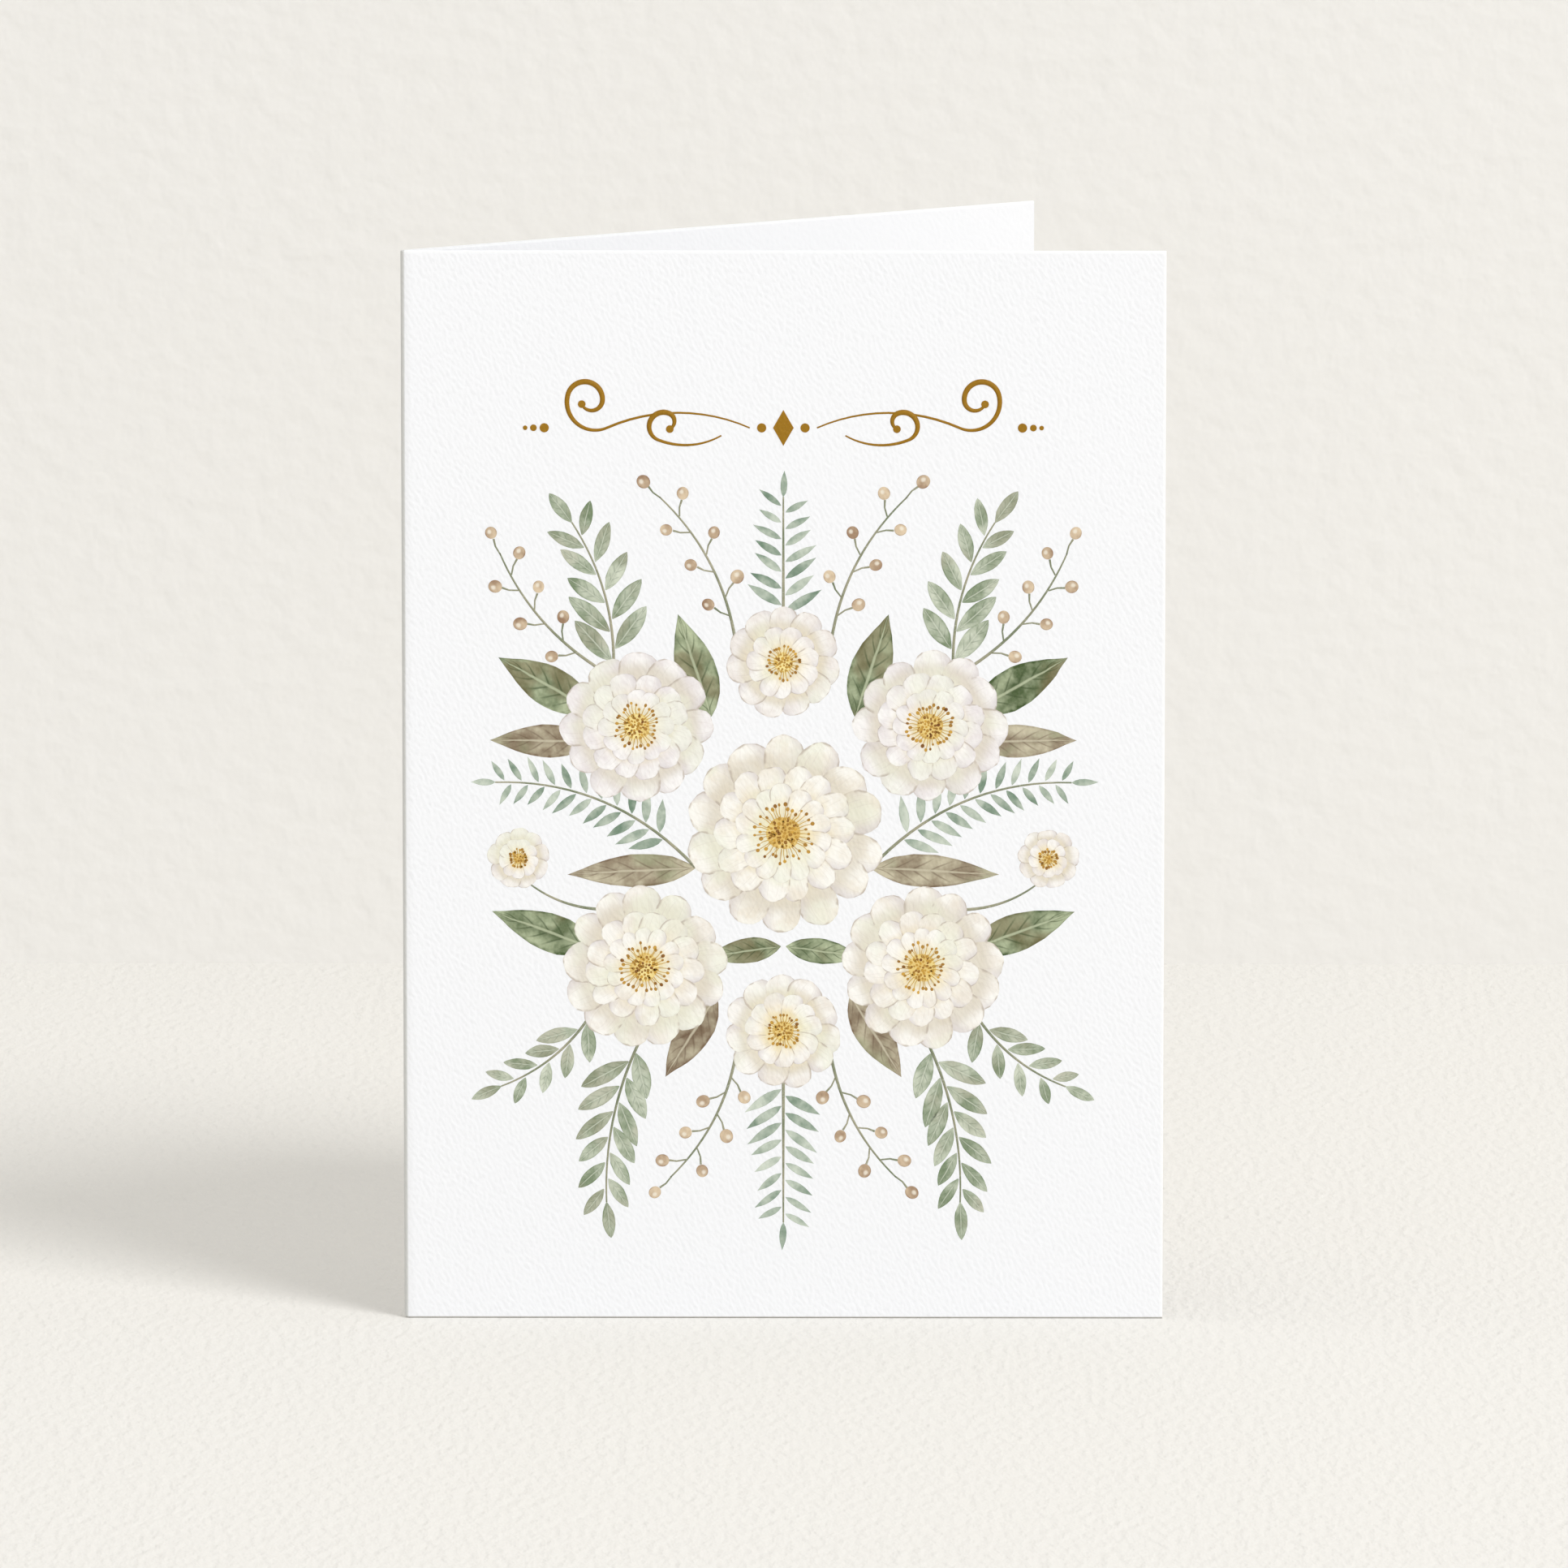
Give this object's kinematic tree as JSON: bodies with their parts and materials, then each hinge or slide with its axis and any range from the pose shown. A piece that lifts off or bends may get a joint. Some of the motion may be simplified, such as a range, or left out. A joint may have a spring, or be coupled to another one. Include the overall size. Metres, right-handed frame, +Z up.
{
  "type": "greeting card",
  "caption": "Upright folded card of textured white board that stands open on its two panels, with a floral print and a gold scroll on its cover.",
  "frame": {"origin": "middle of the bounding box in plan, on the surface the card stands on", "axes": "+Z up along the fold, -Y out of the cover, +X from the fold towards the cover's free edge"},
  "size_m": [0.148, 0.0827, 0.21],
  "materials": {
    "card_paper": "matte",
    "petal_ink": "matte",
    "disc_ink": "matte",
    "green_ink": "matte",
    "brown_ink": "matte",
    "sprig_ink": "matte",
    "fern_ink": "matte",
    "berry_ink": "matte",
    "stem_ink": "matte",
    "gold_ink": "satin"
  },
  "bodies": {
    "root": {"folded_card": "card_paper", "print_petals": "petal_ink", "print_discs": "disc_ink", "print_green_leaves": "green_ink", "print_brown_leaves": "brown_ink", "print_sprig_leaves": "sprig_ink", "print_ferns": "fern_ink", "print_berries": "berry_ink", "print_stems": "stem_ink", "print_gold_ornament": "gold_ink"}
  },
  "joints": []
}
